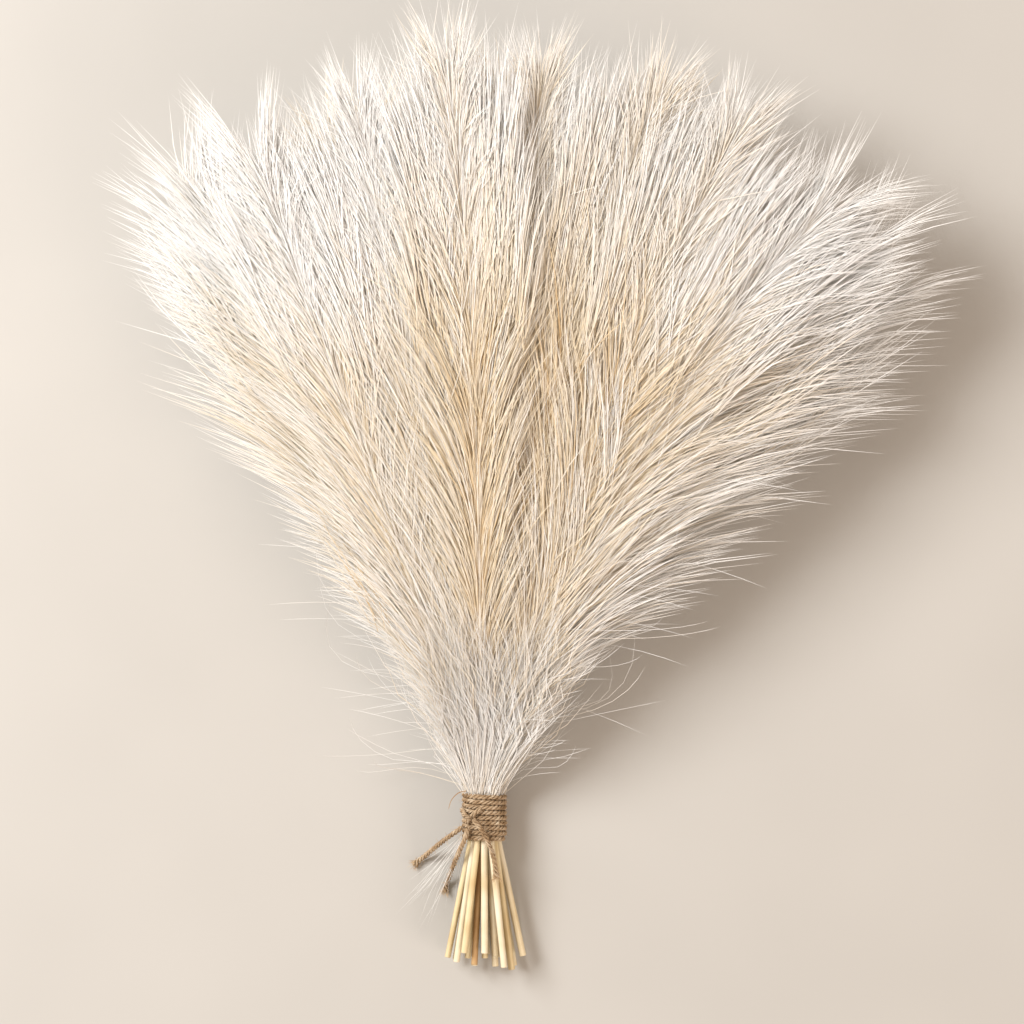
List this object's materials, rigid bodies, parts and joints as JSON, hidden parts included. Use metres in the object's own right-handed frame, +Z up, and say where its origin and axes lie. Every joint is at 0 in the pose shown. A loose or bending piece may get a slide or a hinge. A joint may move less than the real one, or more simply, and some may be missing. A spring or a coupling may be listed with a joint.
{
  "type": "bundle of dried pampas grass",
  "caption": "Fan of dried pampas grass plumes lying flat, with the cut stems bound in jute twine that is knotted and left with loose ends.",
  "frame": {"origin": "on the surface that the bundle lies on, under the middle of its box without the twine's loose ends", "axes": "+Y from the cut ends to the tips of the plumes, +Z up from the surface, +X to the right of someone looking down on it with the plumes away from them"},
  "size_m": [0.3832, 0.4502, 0.0846],
  "materials": {
    "stem": "pale dried straw, satin, with cut ends",
    "plume": "soft cream hairs, matt with a silky sheen",
    "twine": "rough three-ply jute, matt"
  },
  "bodies": {
    "root": {"plume_middle_1": "plume", "plume_middle_2": "plume", "plume_middle_3": "plume", "plume_middle_4": "plume", "plume_middle_5": "plume", "plume_under_1": "plume", "plume_under_2": "plume", "plume_under_3": "plume", "plume_under_4": "plume", "plume_under_5": "plume", "plume_under_6": "plume", "plume_under_7": "plume", "plume_upper_1": "plume", "plume_upper_2": "plume", "plume_upper_3": "plume", "plume_upper_4": "plume", "plume_upper_5": "plume", "plume_upper_6": "plume", "plume_upper_7": "plume", "stem_middle_1": "stem", "stem_middle_2": "stem", "stem_middle_3": "stem", "stem_middle_4": "stem", "stem_middle_5": "stem", "stem_under_1": "stem", "stem_under_2": "stem", "stem_under_3": "stem", "stem_under_4": "stem", "stem_under_5": "stem", "stem_under_6": "stem", "stem_under_7": "stem", "stem_upper_1": "stem", "stem_upper_2": "stem", "stem_upper_3": "stem", "stem_upper_4": "stem", "stem_upper_5": "stem", "stem_upper_6": "stem", "stem_upper_7": "stem", "twine_binding": "twine", "twine_knot": "twine", "twine_tail_down": "twine", "twine_tail_left": "twine", "twine_tail_right": "twine"}
  },
  "joints": []
}
